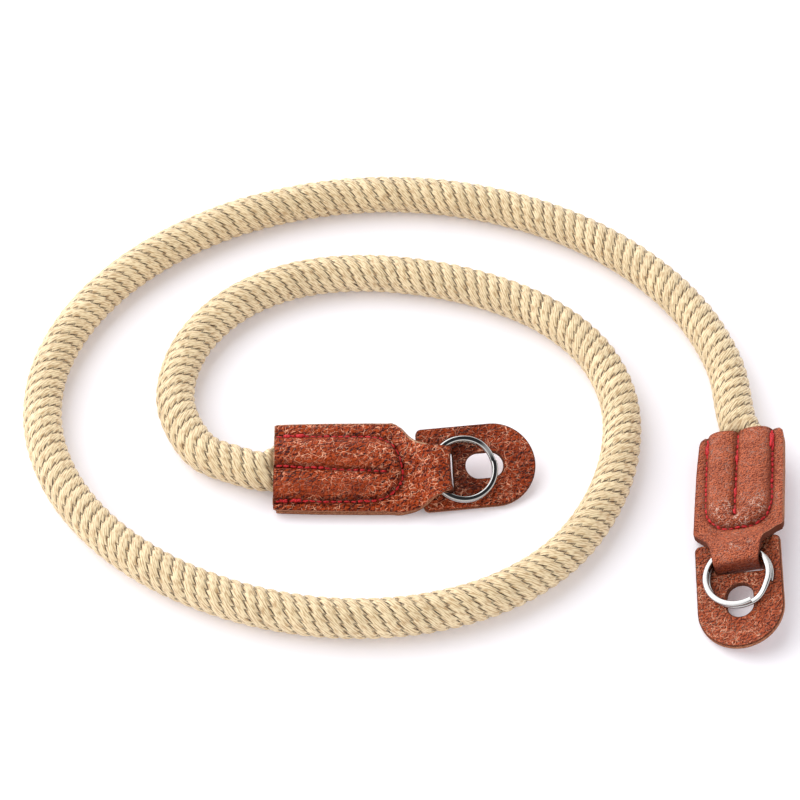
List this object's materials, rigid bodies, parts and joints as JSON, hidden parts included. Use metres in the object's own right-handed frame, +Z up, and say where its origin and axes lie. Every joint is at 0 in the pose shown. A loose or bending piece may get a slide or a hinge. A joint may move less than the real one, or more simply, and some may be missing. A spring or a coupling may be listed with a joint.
{
  "type": "camera neck strap",
  "caption": "Thick braided rope camera neck strap with a stitched leather cover, split ring and leather lug protector at each end, lying in an open spiral.",
  "frame": {"origin": "on the surface that the strap lies on, below the centre of the box round the two leather fittings (covers, protectors and rings)", "axes": "+X along fitting a from its cover to its protector, +Z up"},
  "size_m": [0.1961, 0.1568, 0.0134],
  "materials": {
    "rope": "matte braided cotton, natural",
    "cover_leather": "pebbled, satin, red-brown",
    "protector_leather": "pebbled, semi-gloss, red-brown",
    "ring_steel": "polished"
  },
  "bodies": {
    "strap": {"rope": "rope", "sewn_rope_end_a": "rope", "sewn_rope_end_b": "rope", "leather_cover_a": "cover_leather", "leather_cover_b": "cover_leather", "lug_protector_a": "protector_leather", "lug_protector_b": "protector_leather"},
    "ring_a": {"split_ring_a": "ring_steel"},
    "ring_b": {"split_ring_b": "ring_steel"}
  },
  "joints": [
    {"name": "ring_a_turn", "type": "hinge", "parent": "strap", "child": "ring_a", "pos_m": [-0.01713, 0.01964, 0.00708], "axis": [0.0833, -0.423, 0.9023], "continuous": true},
    {"name": "ring_b_turn", "type": "hinge", "parent": "strap", "child": "ring_b", "pos_m": [0.0493, -0.01449, 0.00751], "axis": [-0.3505, -0.0994, 0.9313], "continuous": true}
  ]
}
